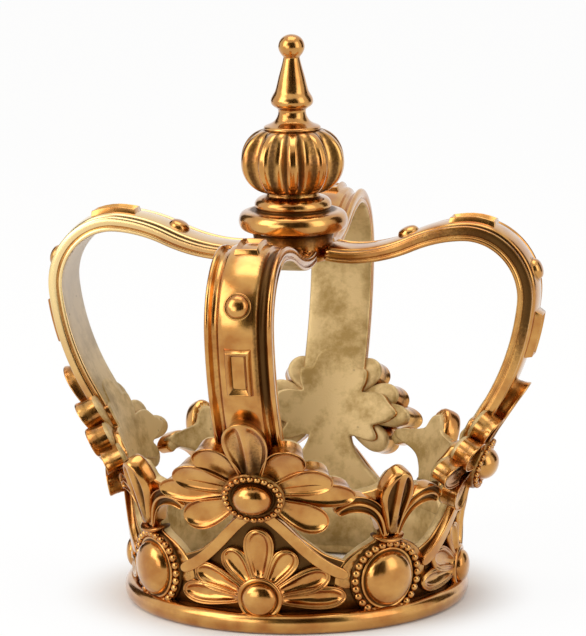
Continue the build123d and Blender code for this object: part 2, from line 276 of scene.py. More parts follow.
def spinProfile(points, steps, closed=False):
    # turned form from radius and height points in mm
    bm = newBmesh()
    verts = [bm.verts.new((radius * mm, 0, height * mm)) for radius, height in points]
    ends = verts[1:] + verts[:1] if closed else verts[1:]
    edges = [bm.edges.new(pair) for pair in zip(verts, ends)]
    bmesh.ops.spin(bm, geom=verts + edges, cent=(0, 0, 0), axis=(0, 0, 1),
                   angle=2 * pi, steps=steps, use_merge=True)
    bmesh.ops.remove_doubles(bm, verts=bm.verts, dist=weldGap)
    bmesh.ops.recalc_face_normals(bm, faces=bm.faces)
    return bm


def turnedBoss(shape):
    # patina in its groove, from and to a radius and below a level, and low on its foot
    grooveFrom, grooveTo, grooveBelow, groovePatina = shape["groove"]
    footBelow, footPatina = shape["footPatina"]
    bm = spinProfile(shape["profile"], shape["steps"])
    layer = hollowLayer(bm)
    for vert in bm.verts:
        reach, level = hypot(vert.co.x, vert.co.y) / mm, vert.co.z / mm
        inGroove = grooveFrom < reach < grooveTo and level < grooveBelow
        vert[layer] = groovePatina if inGroove else (footPatina if level < footBelow else 0)
    return bm


def circle(count, reach):
    turns = [2 * pi * step / count for step in range(count)]
    return [(reach * cos(turn), reach * sin(turn)) for turn in turns]


def mirrored(outline):
    # closes a right-hand outline, listed upwards, with its left-hand half
    return outline + [(-x, y) for x, y in reversed(outline) if x > 0]


print("crown: finishes")


def linear(hexColour):
    channels = [int(hexColour[start:start + 2], 16) / 255 for start in (1, 3, 5)]
    return [c / 12.92 if c <= 0.04045 else ((c + 0.055) / 1.055) ** 2.4 for c in channels] + [1]


def addNode(tree, kind, inputs=None, **settings):
    # one node with its settings; each input takes a value or the socket that feeds it
    node = tree.nodes.new("ShaderNode" + kind)
    for name, value in settings.items():
        setattr(node, name, value)
    for name, value in (inputs or {}).items():
        if isinstance(value, bpy.types.NodeSocket):
            tree.links.new(value, node.inputs[name])
        else:
            node.inputs[name].default_value = value
    return node


def newMaterial(name):
    material = bpy.data.materials.new(name)
    material.use_nodes = True
    material.node_tree.nodes.clear()
    return material, material.node_tree


def surface(tree, shader):
    addNode(tree, "OutputMaterial", {"Surface": shader})


def noise(tree, coords, size, detail, roughness=0.5):
    inputs = {"Vector": coords, "Scale": 1 / (size * mm), "Detail": detail, "Roughness": roughness}
    return addNode(tree, "TexNoise", inputs).outputs["Fac"]


def reckon(tree, operation, *terms):
    return addNode(tree, "Math", dict(enumerate(terms)), operation=operation).outputs["Value"]


def remap(tree, value, before, after, curve="LINEAR"):
    inputs = dict(enumerate((value, *before, *after)))
    return addNode(tree, "MapRange", inputs, interpolation_type=curve).outputs["Result"]


def blend(tree, share, colour, other):
    inputs = {"Factor": share, "A": colour, "B": linear(other)}
    return addNode(tree, "Mix", inputs, data_type="RGBA").outputs["Result"]


def ramp(tree, value, stops):
    node = addNode(tree, "ValToRGB", {"Fac": value})
    for element, (place, colour) in zip(node.color_ramp.elements, stops):
        element.position = place
        element.color = linear(colour)
    return node.outputs["Color"]


def relief(tree, look, height):
    strength, depth = look["relief"]
    inputs = {"Strength": strength, "Distance": depth * mm, "Height": height}
    return addNode(tree, "Bump", inputs).outputs["Normal"]


antiqueGold = {
    "gold": "#CB954B",
    "warmGold": "#B0712C",
    "toneSpan": (0.35, 0.62),
    "sheenGold": "#F3D596",  # painted highlight: paler gilding on the arch on −X, standing in for the sheen of the light from the left
    "patina": "#482E14",
    "ragged": 0.5,  # how far the patina's edge wanders
    "patinaSpan": (0.45, 1.0),
    "patinaMost": 0.92,
    "roughness": 0.2,
    "patinaRoughness": 0.5,
    "lacquer": 0.6,
    "lacquerRoughness": 0.12,
    # noise: size in mm, detail, roughness
    "clouds": (9.0, 3.0),  # slow change of tone in the rubbed gilding
    "specks": (0.9, 4.0, 0.65),  # uneven edge of the patina
    "grain": (0.5, 3.0),  # cast skin under the gilding
    "cloudRelief": 4.0,  # against the grain's
    "relief": (0.25, 0.05),  # strength, depth in mm
}


def makeAntiqueGold():
    # gilded casting resin, rubbed bright on the rims, with brown patina left in the hollows; below 0 the
    # attribute paints a highlight of paler gilding
    look = antiqueGold
    material, tree = newMaterial("antiqueGiltResin")
    coords = addNode(tree, "TexCoord").outputs["Object"]
    hollow = addNode(tree, "Attribute", attribute_name="hollow").outputs["Fac"]
    clouds = noise(tree, coords, *look["clouds"])
    specks = noise(tree, coords, *look["specks"])
    grain = noise(tree, coords, *look["grain"])
    tone = ramp(tree, clouds, zip(look["toneSpan"], (look["warmGold"], look["gold"])))
    # painted highlight: the gilding turns pale where the attribute goes below 0
    sideTone = blend(tree, remap(tree, hollow, (0, -1), (0, 1)), tone, look["sheenGold"])
    ragged = reckon(tree, "MULTIPLY_ADD", specks, look["ragged"], -look["ragged"] / 2)
    depth = reckon(tree, "ADD", hollow, ragged)
    cover = remap(tree, depth, look["patinaSpan"], (0, look["patinaMost"]), "SMOOTHSTEP")
    height = reckon(tree, "MULTIPLY_ADD", clouds, look["cloudRelief"], grain)
    shader = addNode(tree, "BsdfPrincipled", {
        "Metallic": 1.0,
        "Base Color": blend(tree, cover, sideTone, look["patina"]),
        "Roughness": remap(tree, cover, (0, 1), (look["roughness"], look["patinaRoughness"])),
        # clear lacquer only on the rubbed gilding
        "Coat Weight": remap(tree, cover, (0, 1), (look["lacquer"], 0)),
        "Coat Roughness": look["lacquerRoughness"],
        "Normal": relief(tree, look, height)})
    surface(tree, shader.outputs["BSDF"])
    return material


matteGold = {
    "paint": "#D2B57F",
    "worn": "#A3854B",
    "toneSpan": (0.38, 0.56),
    "sheenPale": "#DDD3C6",  # painted highlight: pale paint on the inner face of the arch on −X, standing in for the light on it
    "sheenPaleMost": 0.8,
    "pit": "#5E4A26",
    "metallic": 0.45,
    "roughness": 0.48,
    "clouds": (14.0, 8.0, 0.68),  # brushed-on paint
    "pitSpacing": 4.75,  # mm, air bubbles of the casting
    "pitReach": 0.16,  # share of the spacing
    "pitClouds": (0.5, 0.58),  # they keep to the thick paint
    "grain": (0.6, 4.0),
    "relief": (0.5, 0.15),  # strength, depth in mm
}


def makeMatteGold():
    # inside of the casting: brushed gold paint with bubbles and worn patches, and a painted highlight that
    # turns it pale where the attribute is below 0
    look = matteGold
    material, tree = newMaterial("matteGoldPaint")
    coords = addNode(tree, "TexCoord").outputs["Object"]
    hollow = addNode(tree, "Attribute", attribute_name="hollow").outputs["Fac"]
    clouds = noise(tree, coords, *look["clouds"])
    grain = noise(tree, coords, *look["grain"])
    cells = addNode(tree, "TexVoronoi", {"Vector": coords, "Scale": 1 / (look["pitSpacing"] * mm)})
    tone = ramp(tree, clouds, zip(look["toneSpan"], (look["worn"], look["paint"])))
    # painted highlight: the paint turns pale where the attribute goes below 0
    paintWithSheen = blend(tree, remap(tree, hollow, (0, -1), (0, look["sheenPaleMost"])), tone, look["sheenPale"])
    pitDepth = remap(tree, cells.outputs["Distance"], (0, look["pitReach"]), (1, 0), "SMOOTHSTEP")
    pit = reckon(tree, "MULTIPLY", pitDepth, remap(tree, clouds, look["pitClouds"], (0, 1)))
    height = reckon(tree, "SUBTRACT", grain, pit)
    shader = addNode(tree, "BsdfPrincipled", {
        "Metallic": look["metallic"], "Roughness": look["roughness"],
        "Base Color": blend(tree, pit, paintWithSheen, look["pit"]), "Normal": relief(tree, look, height)})
    surface(tree, shader.outputs["BSDF"])
    return material


giltLook = makeAntiqueGold()
innerLook = makeMatteGold()


def linked(name, data):
    made = bpy.data.objects.new(name, data)
    bpy.context.collection.objects.link(made)
    return made


def linkMesh(name, bm, *materials):
    mesh = bpy.data.meshes.new(name)
    bm.to_mesh(mesh)
    bm.free()
    for material in materials:
        mesh.materials.append(material)
    return linked(name, mesh)


def makePiece(name, bm, levels=2):
    # turns a bmesh into a piece of the crown
    bmesh.ops.recalc_face_normals(bm, faces=bm.faces)
    piece = linkMesh(name, bm, giltLook, innerLook)
    piece.data.shade_smooth()
    if levels:
        rounding = piece.modifiers.new("rounding", "SUBSURF")
        rounding.levels = rounding.render_levels = levels
    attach(piece, "root")
    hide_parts("crown")


def makeOnWall(name, bm, climb=0.0, out=0.0, turn=0, levels=2):
    # lays a flat quarter on the wall, copies it round and makes the piece
    shifted(bm, bm.verts, climb, out)
    bendToWall(bm, turn)
    aroundCrown(bm)
    makePiece(name, bm, levels)


print("crown: foot ring and wall")

footRing = {
    "section": [(55.6, 0), (62, 0), (63, 0.5), (64, 2.3), (64.15, 4.2), (63.8, 6.1), (62.6, 7.4),
                (60.8, 7.8), (57, 7.8), (55.7, 6.5)],
    "steps": 96,
    "patinaAbove": 4.0,  # on top, from this radius inwards
    "patinaFrom": 61.4, "patinaOver": 1.6, "patinaMost": 0.8,
    "inward": -0.3, "downward": -0.9,  # faces that look this way are matte
}


def makeFootRing():
    shape = footRing
    bm = spinProfile(shape["section"], shape["steps"], closed=True)
    layer = hollowLayer(bm)
    for vert in bm.verts:
        depth = (shape["patinaFrom"] - hypot(vert.co.x, vert.co.y) / mm) / shape["patinaOver"]
        onTop = vert.co.z / mm > shape["patinaAbove"]
        vert[layer] = min(max(depth, 0), shape["patinaMost"]) if onTop else 0
    for face in bm.faces:
        matte = outwardOf(face) < shape["inward"] or face.normal.z < shape["downward"]
        face.material_index = 1 if matte else 0
    makePiece("footRing", bm, 1)


makeFootRing()

bandWall = {
    "foot": 4.0, "top": 24.0,  # plain wall all round, from here to here
    "steps": 128,
    "patina": 0.95,
    "cell": 2.8,  # mm, facets of the plates
    # right-hand outlines upwards: half width and height
    "panel": [(34, 9), (34, 25), (30.6, 26.2), (24.4, 28.4), (15.4, 35.4), (10.8, 40.6), (9, 44), (8.4, 47),
              (7.8, 52)],
    "fleurBack": [(21, 15), (20.6, 20.4), (18.4, 24.4), (14.6, 28), (10, 30.6), (5.4, 32.2), (4.2, 34.5),
                  (4.6, 38), (7, 42.2), (11.6, 44.8), (18, 46.2), (22, 47), (22.4, 50.6), (14, 51.4),
                  (5.6, 52), (4.6, 55), (2.6, 57.6), (0.8, 58.4)],
    # back of the rosette: reach from its middle by the angle from straight up
    "rosetteBack": [(0, 27.5), (14, 26.5), (26, 20.5), (38, 23), (48, 18.5), (54, 14), (60, 19), (68, 24),
                    (77, 25.5), (86, 30), (94, 25), (102, 17.5), (108, 21), (114, 22.5), (121, 20),
                    (129, 13), (140, 12), (180, 12)],
    "rosetteRings": (0.0, 0.2, 0.4, 0.6, 0.8, 0.92, 1.0),
    "rosetteSteps": 96,
    "backs": (0.02, 0.05, 0.08),  # mm in front of the wall's inner face, so that no two backs coincide
    "front": 0.4,  # of the rosette's and the fleur's plate
    "edgeFacing": (0.5, -0.5),  # matte cut edges on panels and fleurs, gilded ones on rosettes
    "fleurPatina": 0.6,
}


def thickened(bm, turn, back, front, patina, facing):
    # gives a flat sheet its thickness and lays it on the wall
    shifted(bm, bm.verts, 0, front)
    nextRing(bm, bm.faces[:], back - wall - front)
    markInside(bm, facing)
    layer = hollowLayer(bm)
    for vert in bm.verts:
        vert[layer] *= patina
    bendToWall(bm, turn)
    return bm


def symmetricSheet(outline):
    # sheet as wide as the outline at every height, with no patina on its cut edge
    rows = [(climbAt(height), half) for half, height in outline]
    low, high = rows[0][0], rows[-1][0]
    cell = bandWall["cell"]
    columns, lines = int(2 * max(half for half, height in outline) / cell), 2 * int((high - low) / cell)
    bm = newBmesh()
    bmesh.ops.create_grid(bm, x_segments=columns, y_segments=lines, size=0.5)
    layer = hollowLayer(bm)
    for vert in bm.verts:
        vert[layer] = 1.0 if abs(vert.co.x) < 0.5 - 0.5 / columns else 0.0
        climb = low + (high - low) * (vert.co.y + 0.5)
        vert.co = Vector((2 * vert.co.x * valueAt(rows, climb) * mm, climb * mm, 0))
    return bm


def lobedSheet(reaches, climb):
    # round sheet with the rosette's lobes
    bm = spinProfile([(share, 0) for share in bandWall["rosetteRings"]], bandWall["rosetteSteps"])
    shadeAll(bm, bm.verts, 1)
    for vert in bm.verts:
        vert.co *= valueAt(reaches, abs(degrees(atan2(vert.co.x, vert.co.y))))
        vert.co.y += climb * mm
    return bm


def makeBandWall():
    # plain ring, then a panel behind each fan, a plate behind each rosette and one behind each fleur
    shape = bandWall
    (footReach, footHeight), (topReach, topHeight) = sideAt(shape["foot"])[0], sideAt(shape["top"])[0]
    bm = spinProfile([(footReach, footHeight), (footReach + wall, footHeight),
                      (topReach + wall, topHeight), (topReach, topHeight)], shape["steps"], closed=True)
    shadeAll(bm, bm.verts, shape["patina"])
    for face in bm.faces:
        face.material_index = 1 if outwardOf(face) < 0 else 0
    makePiece("bandRing", bm, 0)
    panelBack, rosetteBack, fleurBack = shape["backs"]
    matteEdge, giltEdge = shape["edgeFacing"]
    front, fleurPatina = shape["front"], shape["fleurPatina"]
    bm = newBmesh()
    for turn in quarterTurns:
        panel = symmetricSheet(shape["panel"])
        joinInto(bm, thickened(panel, turn, panelBack, 0, 1, matteEdge))
        rosette = lobedSheet(shape["rosetteBack"], rosetteShape["climb"])
        joinInto(bm, thickened(rosette, turn, rosetteBack, front, 1, giltEdge))
        fleur = symmetricSheet(shape["fleurBack"])
        joinInto(bm, thickened(fleur, turn + fleurTurn, fleurBack, front, fleurPatina, matteEdge))
    makePiece("bandPlates", bm, 1)


print("crown: rosettes")

petalCurve = {
    "root": 0.4,  # width at the root, share of the full width
    "belly": 0.7,  # place of the full width along the petal
    "sideShares": (0.0, 0.18, 0.36, 0.54),  # of the length, up to the belly
    "swellPower": 1.3,
    "tipTurns": (28, 52, 72),  # round the tip, in degrees
    "pivotShare": 0.58,  # the rings shrink about this place
    "backPatina": 0.2,
    "cupDepth": 4.0,  # mm from the back, where the front begins
    "cupBackShare": 0.25,  # the back is lifted less
    "rootPatina": 0.9, "rootShare": 0.34,
}

# Rosette: nine dished petals round a beaded dome, over the foot of each arch
rosetteShape = {
    "climb": 55.6,
    "start": 7.5,  # petals begin under the beads
    # angle from straight up, length from the middle, width, lift
    "petals": [(36, 28.2, 13.4, 1.5), (67, 28.6, 12.6, 2.1), (87, 33.6, 11, 0.9), (115, 26, 12.8, 1.3)],
    "topPetal": (0, 35.2, 15.8, 2.0),
    "back": -3.5,
    "backShare": 0.86,
    "cup": 3.5,  # how far the tips stand further out
    "matte": 0.8,  # the sides are left matte this far from the back
    # up, narrow, shorten, patina: from the back over the rolled rim into the dish
    "rings": [(0.9, 1, 1, 0.3), (2.7, 1.03, 1.02, 0.75), (1.5, 1.07, 1.04, 0.5), (0.8, 1.06, 1.03, 0),
              (0.45, 0.98, 0.99, 0), (0.05, 0.945, 0.975, 0), (-0.6, 0.96, 0.98, 0.3),
              (-0.9, 0.86, 0.92, 0.3), (-0.75, 0.58, 0.72, 0.25)],
    "rimRings": 6,  # the top petal has two flutes inside its rim
    "flutes": [(-0.4, 0.84, 0.9, 0.1), (-1.3, 0.72, 0.82, 0.55), (-0.6, 0.5, 0.7, 0.6)],
}


def petalOutline(length, width):
    # right-hand side from the root up, round the tip and back
    root, belly = petalCurve["root"], petalCurve["belly"]
    right = []
    for share in (*petalCurve["sideShares"], belly):
        swell = sin(pi / 2 * share / belly) ** petalCurve["swellPower"]
        right.append((width / 2 * (root + (1 - root) * swell), share * length))
    for turn in petalCurve["tipTurns"]:
        beside, ahead = cos(radians(turn)), sin(radians(turn))
        right.append((width / 2 * beside, (belly + (1 - belly) * ahead) * length))
    right.append((0.0, length))
    return mirrored(right)


def dishedPetal(bm, shape, length, width, fluted):
    # petal with a rolled rim, pointing up from the origin
    known = set(bm.verts)
    share = shape.get("backShare", 1.0)
    outline = [(x * share, y) for x, y in petalOutline(length, width)]
    faces = [newFace(bm, outline, shape["back"], petalCurve["backPatina"])]
    rings = shape["rings"][:shape["rimRings"]] if fluted else shape["rings"]
    faces = growRings(bm, faces, rings, (0, petalCurve["pivotShare"] * length))
    if fluted:
        sinkHalves(bm, faces, shape["flutes"])
    verts = [vert for vert in bm.verts if vert not in known]
    # the inner finish runs over the back edge of a rosette's petal
    for face in {face for vert in verts for face in vert.link_faces}:
        if "matte" in shape and face.calc_center_median().z / mm < shape["back"] + shape["matte"]:
            face.material_index = 1
    return verts


def splitAlong(bm, faces):
    # cuts the top of a piece in two along its middle
    level = faces[0].verts[0].co.z
    edges = list({edge for face in faces for edge in face.edges})
    verts = vertsOf(faces)
    bmesh.ops.bisect_plane(bm, geom=faces + edges + verts, dist=weldGap,
                           plane_co=(0, 0, 0), plane_no=(1, 0, 0))
    return [face for face in bm.faces if all(abs(vert.co.z - level) < weldGap / 2 for vert in face.verts)]


def sinkHalves(bm, faces, rings):
    # a hollow on each side of a middle ridge
    for half in splitAlong(bm, faces):
        middle = half.calc_center_median() / mm
        growRings(bm, [half], rings, (middle.x, middle.y))


def cupped(bm, verts, shape, length):
    # lifts the front of a petal towards its tip; the dark patina gathers at its root
    layer = hollowLayer(bm)
    backShare, rootShare = petalCurve["cupBackShare"], petalCurve["rootShare"]
    for vert in verts:
        share = min(max(vert.co.y / mm / length, 0), 1)
        front = min(max((vert.co.z / mm - shape["back"]) / petalCurve["cupDepth"], 0), 1)
        vert.co.z += shape["cup"] * share * (backShare + (1 - backShare) * front) * mm
        gathered = petalCurve["rootPatina"] * front * max(rootShare - share, 0) / rootShare
        vert[layer] = min(vert[layer] + gathered, 1)


def makePetals(name, shape):
    # petals to the right and to the left, then the top one, turned clockwise seen from outside
    bm = newBmesh()
    petals = [(side * turn, *sizes) for turn, *sizes in shape["petals"] for side in (1, -1)]
    for turn, length, width, lift in petals + [shape["topPetal"]]:
        length -= shape["start"]
        verts = dishedPetal(bm, shape, length, width, turn == 0 and "flutes" in shape)
        if "cup" in shape:
            cupped(bm, verts, shape, length)
        shifted(bm, verts, shape["start"], lift)
        turned(bm, verts, -turn)
    makeOnWall(name, bm, shape["climb"])


beadShape = {
    "segments": 12, "rings": 8,
    "flatten": 0.9,
    "patinaSpan": (-0.9, 0.5),  # about the middle of the bead
}

rosetteBoss = {
    # radius and height of the dished collar that carries the beads, and of the dome
    "profile": [(0, 1), (11.2, 1), (11.2, 3.6), (10.9, 4.4), (10.2, 4.7), (8.4, 4.7), (7.7, 4.3),
                (7.4, 3.9), (7, 3.9), (6.9, 4.6), (6.7, 5.8), (6.1, 7.2), (5, 8.6), (3.4, 9.6), (1.6, 10.1),
                (0, 10.2)],
    "steps": 24,
    "groove": (6.95, 8.6, 5.0, 1.0), "footPatina": (4.9, 0.75),
    "beads": (24, 9.3, 1.22, 5.0),  # count, reach, radius, level
    "lift": 1.0,
}


def beadRow(bm, count, reach, radius, level):
    # ring of beads, each a small ball pressed a little flat
    known = set(bm.verts)
    flatten = Matrix.Diagonal((1, 1, beadShape["flatten"], 1))
    for x, y in circle(count, reach):
        place = Matrix.Translation((x * mm, y * mm, level * mm))
        bmesh.ops.create_uvsphere(bm, u_segments=beadShape["segments"], v_segments=beadShape["rings"],
                                  radius=radius * mm, matrix=place @ flatten)
    low, high = beadShape["patinaSpan"]
    shadeHollows(bm, level + low, level + high, [vert for vert in bm.verts if vert not in known])


def makeRosetteBosses():
    shape = rosetteBoss
    climb = rosetteShape["climb"]
    makeOnWall("rosetteDomes", turnedBoss(shape), climb, shape["lift"])
    bm = newBmesh()
    beadRow(bm, *shape["beads"])
    makeOnWall("rosetteBeads", bm, climb, shape["lift"], levels=0)


makeBandWall()
makePetals("rosettePetals", rosetteShape)
makeRosetteBosses()

print("crown: fans")

fanShape = {
    "climb": 13.0,
    "start": 5.5,
    # angle from straight up, length from the middle, width, lift
    "topPetal": (0, 27.6, 11.8, 0),
    "petals": [(33, 22.2, 10.2, 0), (69, 26.8, 10.2, 0), (89, 31, 9.2, 0)],
    "back": -1.0,
    # outer rim, groove, inner rim, hollow: up, narrow, shorten, patina
    "rings": [(1.2, 1.02, 1.01, 0.9), (1.4, 0.98, 0.99, 0.6), (0.6, 0.93, 0.965, 0),
              (0.1, 0.92, 0.965, 0.05), (-0.55, 0.95, 0.975, 0.75), (0.4, 0.88, 0.95, 0.1),
              (0.05, 0.88, 0.95, 0), (-0.9, 0.84, 0.93, 0.2), (-0.9, 0.62, 0.8, 0.35)],
}


fanBoss = {
    "profile": [(0, 0), (8.3, 0), (8.4, 1.6), (8.1, 2.6), (7.4, 3), (6.7, 2.7), (6.3, 2.3), (6.2, 2.5),
                (6.1, 3.2), (5.6, 4.2), (4.6, 5), (3.1, 5.6), (1.5, 5.9), (0, 6)],
    "steps": 24,
    "groove": (-1.0, 6.8, 2.65, 0.9), "footPatina": (1.0, 0.6),
}

frameStrip = {
    # centre line, sideways and height, from the crown of the frame down to the oval boss
    "line": [(0, 46.2), (3.6, 44.6), (7.4, 41.2), (10.6, 37.6), (13.9, 33.8), (17.6, 29.8), (21.7, 26.2),
             (26, 23.2), (31.5, 20.6)],
    "width": 4.3,
    "back": -1.0, "top": 2.6,
    "riseShares": (0.5, 0.4, 0.1),  # of the top: side, bevel and rounding
    "insets": (0.35, 0.3),
    "patinaFoot": -0.4, "patinaShare": 0.7,
}


def makeFrameStrips():
    # one rounded bar over the fan, bent like a tent
    shape = frameStrip
    top = shape["top"]
    sideRise, bevelRise, roundRise = shape["riseShares"]
    line = [Vector((x, climbAt(y))) for x, y in shape["line"]]
    line = [Vector((-point.x, point.y)) for point in reversed(line[1:])] + line
    bm = newBmesh()
    faces = ribbon(bm, line, [shape["width"] / 2] * len(line), (1, -1), shape["back"])
    for up in (top * sideRise - shape["back"], top * bevelRise):
        faces = nextRing(bm, faces, up)
    for inset, rise in zip(shape["insets"], (roundRise, 0)):
        insetRun(bm, faces, inset, top * rise)
    shadeHollows(bm, shape["patinaFoot"], top * shape["patinaShare"])
    makeOnWall("frameStrips", bm)


makePetals("fanLeaves", fanShape)
makeOnWall("fanDomes", turnedBoss(fanBoss), fanShape["climb"])
makeFrameStrips()

print("crown: fleurs and ovals")

fleurShape = {
    "foot": 34.6,  # height where leaf and curls leave the clasp
    "back": -3.2,
    "backPatina": 0.2,
    "cup": 1.6,
    # right half of the leaf: sideways and length from the foot
    "leaf": [(1.9, 0), (2.9, 5.5), (4.5, 10), (6, 14.5), (6.5, 18), (6.1, 21.4), (5, 24.6), (3.5, 26.9),
             (1.8, 28.3), (0, 28.8)],
    "leafPivot": 17,
    # up, narrow, shorten, patina
    "leafRings": [(2.8, 1.03, 1, 0.3), (1.4, 1.01, 1, 0.5), (1.4, 0.96, 0.985, 0), (1.2, 0.9, 0.965, 0),
                  (0.5, 0.88, 0.96, 0)],
    "leafHollows": [(-0.1, 0.68, 0.87, 0.1), (-1.7, 0.74, 0.9, 0.9), (-0.5, 0.5, 0.8, 1)],
    # curl: centre line sideways and length from the foot, with the half width
    "curl": [(2.2, 0, 1.5), (3, 3.6, 1.9), (4.3, 7.4, 2.3), (6.6, 10.9, 2.7), (9.8, 13.4, 3.1),
             (13.4, 14.8, 3.5), (17, 14.9, 3.6), (20, 13.6, 3.1), (21.9, 11.4, 2.3)],
    "curlSteps": (2.8, 2.2, 1.2),
    "matteFacing": -0.6,
    "flute": [(0.5, 0.15), (0.4, -1.7)],  # inset and rise of its rim, then of its hollow
}

claspShape = {
    "width": 13.6, "length": 3.4, "proud": 5.2,
    "segments": 16, "rings": 10,
    "height": 33.2,
    "lift": 1.4,  # its ends turn up
    "patinaSpan": (0.0, 2.6),
}


def curlOf(shape, side):
    # curl that leans out to one side of the leaf, with a flute on each side of its centre line
    curl = newBmesh()
    line = [Vector((side * x, y)) for x, y, half in shape["curl"]]
    faces = ribbon(curl, line, [half for x, y, half in shape["curl"]], (1, 0, -1), shape["back"])
    for up in shape["curlSteps"]:
        faces = nextRing(curl, faces, up)
    run = len(line) - 1
    for flute in (faces[:run], faces[run:]):
        for inset, rise in shape["flute"]:
            insetRun(curl, flute, inset, rise)
        shadeAll(curl, vertsOf(flute), 1)
    return curl


def claspOf(shape):
    # rounded bar across the foot of leaf and curls
    width = shape["width"]
    clasp = newBmesh()
    bmesh.ops.create_uvsphere(clasp, u_segments=shape["segments"], v_segments=shape["rings"], radius=0.5 * mm)
    bmesh.ops.scale(clasp, vec=(width, shape["length"], 2 * shape["proud"]), verts=clasp.verts)
    for vert in clasp.verts:
        vert.co.y += shape["lift"] * (2 * vert.co.x / (width * mm)) ** 2 * mm
    shadeHollows(clasp, *shape["patinaSpan"])
    shifted(clasp, clasp.verts, climbAt(shape["height"]))
    return clasp


def makeFleurs():
    shape = fleurShape
    bm = newBmesh()
    # pointed leaf with a spine between two hollows
    faces = [newFace(bm, mirrored(shape["leaf"]), shape["back"], shape["backPatina"])]
    faces = growRings(bm, faces, shape["leafRings"], (0, shape["leafPivot"]))
    sinkHalves(bm, faces, shape["leafHollows"])
    tip = shape["leaf"][-1]
    cupped(bm, bm.verts, shape, tip[1])
    for side in (1, -1):
        joinInto(bm, curlOf(shape, side))
    markInside(bm, shape["matteFacing"])
    shifted(bm, bm.verts, climbAt(shape["foot"]))
    joinInto(bm, claspOf(claspShape))
    makeOnWall("fleurs", bm, turn=fleurTurn)


ovalShape = {
    "height": 18.4,
    "stretch": 13 / 12,  # the dome is longer than wide
    "steps": 28,
    "profile": [(0, 0.6), (10.944, 0.6), (11.04, 1.8), (10.752, 2.4), (10.272, 2.5), (9.888, 2.2),
                (9.504, 2.1), (9.456, 2.6), (9.216, 3.4), (8.256, 4.8), (6.528, 5.9), (4.224, 6.7),
                (1.92, 7.05), (0, 7.1)],
    "groove": (9.3, 10.2, 2.5, 1.0), "footPatina": (2.0, 0.8),
    "plate": (28, 14.6),  # round backing under the beads: corners, reach
    "plateBack": -2.0,
    "plateRings": [(2.4, 1, 1, 1), (0.8, 0.98, 0.98, 1), (0.2, 0.9, 0.9, 1), (0, 0.6, 0.6, 1)],
    "beads": (28, 13.0, 1.5, 1.9),  # count, reach, radius, level
}


def makeOvals():
    shape = ovalShape
    climb = climbAt(shape["height"])
    bm = turnedBoss(shape)
    bmesh.ops.scale(bm, vec=(1, shape["stretch"], 1), verts=bm.verts)
    makeOnWall("ovalDomes", bm, climb, turn=fleurTurn)
    bm = newBmesh()
    outline = circle(*shape["plate"])
    growRings(bm, [newFace(bm, outline, shape["plateBack"], 1)], shape["plateRings"])
    beadRow(bm, *shape["beads"])
    makeOnWall("ovalBeads", bm, climb, turn=fleurTurn, levels=0)


makeFleurs()
makeOvals()

print("crown: arches")

archShape = {
    "start": 59.0,  # hidden behind the rosette
    "end": 4.0,  # before the hub's axis
    "stations": 84,
    # right half of the section from the inner face outwards: sideways and out
    "section": [(0, 0), (6, 0), (10.9, 0), (11.5, 0.3), (11.75, 0.8), (11.7, 1.25), (11.2, 1.5),
                (11.15, 1.8), (11.65, 2.1), (11.75, 2.7), (11.75, 3.6), (11.55, 4.25), (10.9, 4.55),
                (10.2, 4.4), (9.75, 3.8), (9.2, 3.2), (8.3, 2.95), (7.4, 3.1), (6.95, 3.7), (6.75, 4.35),
                (6.4, 4.75), (3.6, 5.15), (0, 5.35)],
    "widen": 1.035,
    "matteUpTo": 0.35,  # the inner face is left matte, over its rounded edges
    # sideways from and to, out from and to, patina
    "groove": (11.0, 11.3, 1.4, 1.9, 0.6),
    "cove": (7.2, 9.4, 2.9, 3.4, 0.55),
    "flank": (11.4, 12.0, 1.9, 4.4, 1.0),
    "sheenAndFlanks": {0: 1.15, 180: -1.0},  # by turn: browner flanks on the arch on +X; on −X paler gilding, a painted highlight for the light from the left
    "sheenAndFlankFades": (75.0, 45.0, 70.0),  # from here up over this length, and over this one before the hub
    # painted shade: a dark streak down the right of the front arch
    "shadeStreakTurn": 270,
    "shadeStreak": (5.6, 9.4, 88.0, 156.0, 0.8),  # sideways and along, from and to, darkness of the painted shade
    "shadeStreakFade": 14.0,
}


def archAt(turn):
    # one arch along its side line, turned to its place
    shape = archShape
    start, end = shape["start"], sideLengths[-1] - shape["end"]
    bm = newBmesh()
    section = [Vector((x * shape["widen"], start, out)) * mm for x, out in mirrored(shape["section"])]
    faces = [bm.faces.new([bm.verts.new(point) for point in section])]
    step = (end - start) / shape["stations"]
    for station in range(shape["stations"]):
        faces = extruded(bm, faces)
        shifted(bm, faces[0].verts, step)
    for face in bm.faces:
        face.material_index = 1 if all(vert.co.z < shape["matteUpTo"] * mm for vert in face.verts) else 0
    shadeArch(bm, turn, end)
    bendToArch(bm)
    turned(bm, bm.verts, turn)
    return bm


def patinaIn(zone, first, second):
    # patina of a zone, or nothing outside it
    firstFrom, firstTo, secondFrom, secondTo, patina = zone
    return patina if firstFrom < first < firstTo and secondFrom < second < secondTo else 0.0


